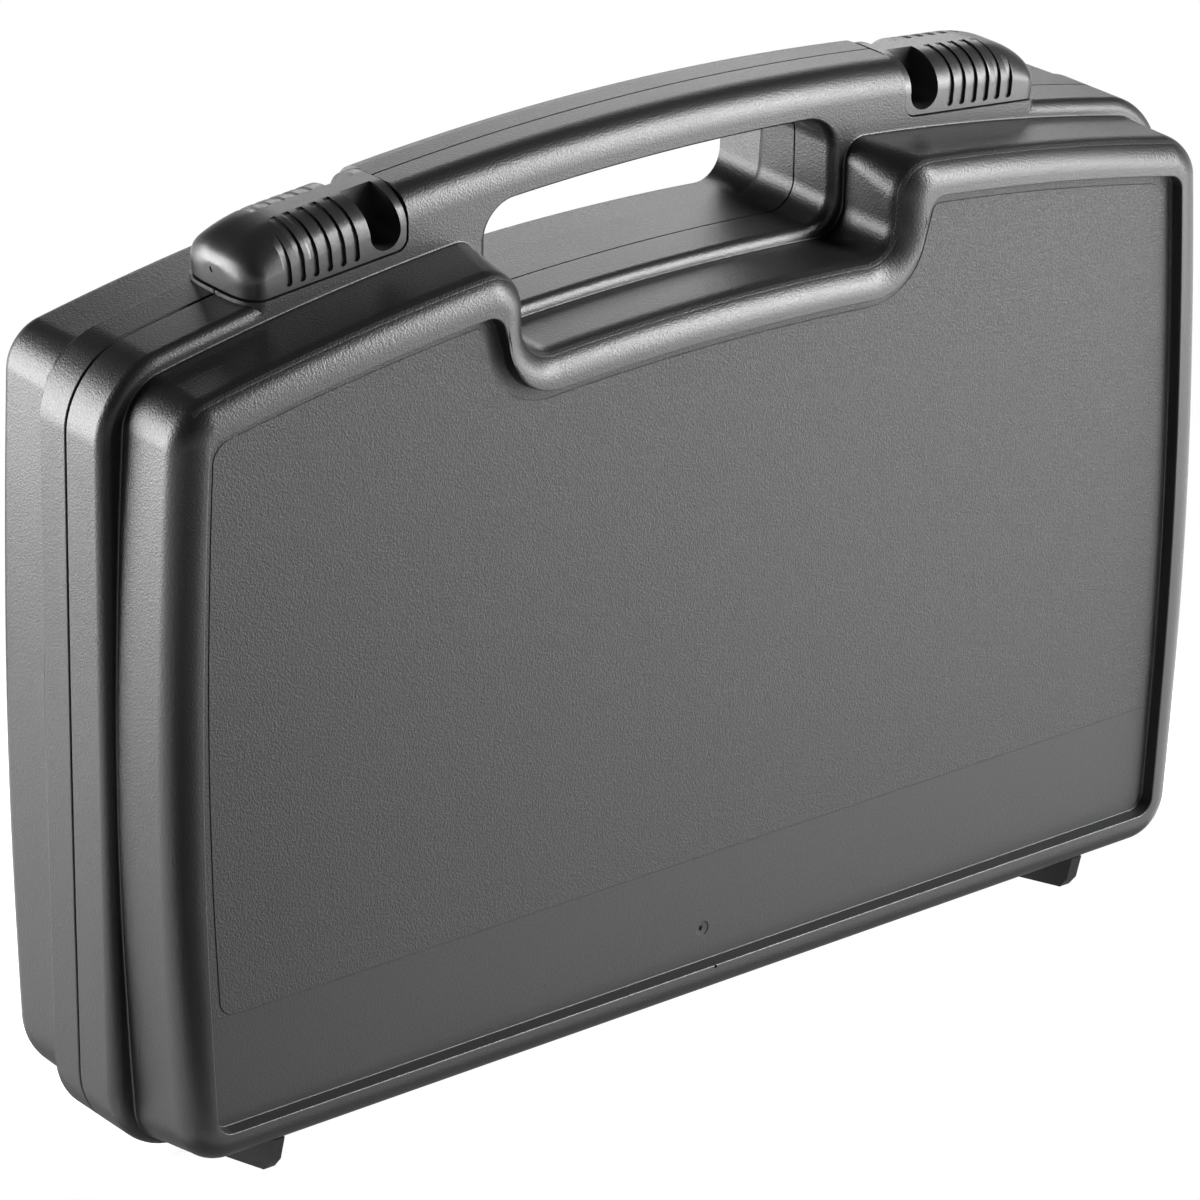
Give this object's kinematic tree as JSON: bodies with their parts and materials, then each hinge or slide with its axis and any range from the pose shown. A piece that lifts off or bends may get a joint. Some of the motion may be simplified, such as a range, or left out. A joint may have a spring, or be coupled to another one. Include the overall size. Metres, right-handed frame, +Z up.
{
  "type": "carrying case",
  "caption": "Moulded hard-shell carrying case with a built-in arched handle, sliding saddle latches, a pinned hinge, fin feet and foam inserts.",
  "frame": {"origin": "on the ground under the feet, at the middle of the footprint", "axes": "+X along the width to the right latch, +Y to the back of the case, +Z up to the handle; the case stands on its feet and its lid is the -Y shell"},
  "size_m": [0.36, 0.075, 0.265],
  "materials": {
    "shell_plastic": "fine sand grain, charcoal",
    "latch_plastic": "smooth satin, charcoal",
    "pin_steel": "drawn wire",
    "foam": "open-cell foam, charcoal"
  },
  "bodies": {
    "base": {"rear_shell": "shell_plastic", "left_hinge_pin": "pin_steel", "right_hinge_pin": "pin_steel", "base_foam_pockets": "foam", "base_foam_pad": "foam"},
    "lid": {"front_shell": "shell_plastic", "lid_foam_pad": "foam"},
    "left_latch_slider": {"left_latch": "latch_plastic"},
    "right_latch_slider": {"right_latch": "latch_plastic"}
  },
  "joints": [
    {"name": "lid_hinge", "type": "hinge", "parent": "base", "child": "lid", "pos_m": [0, 0.00355, 0.0066], "axis": [1, 0, 0], "range_deg": [0, 110]},
    {"name": "left_latch_slide", "type": "slide", "parent": "base", "child": "left_latch_slider", "axis": [-0.9956, 0, -0.0936], "range_m": [0, 0.01]},
    {"name": "right_latch_slide", "type": "slide", "parent": "base", "child": "right_latch_slider", "axis": [0.9956, 0, -0.0936], "range_m": [0, 0.01]}
  ]
}
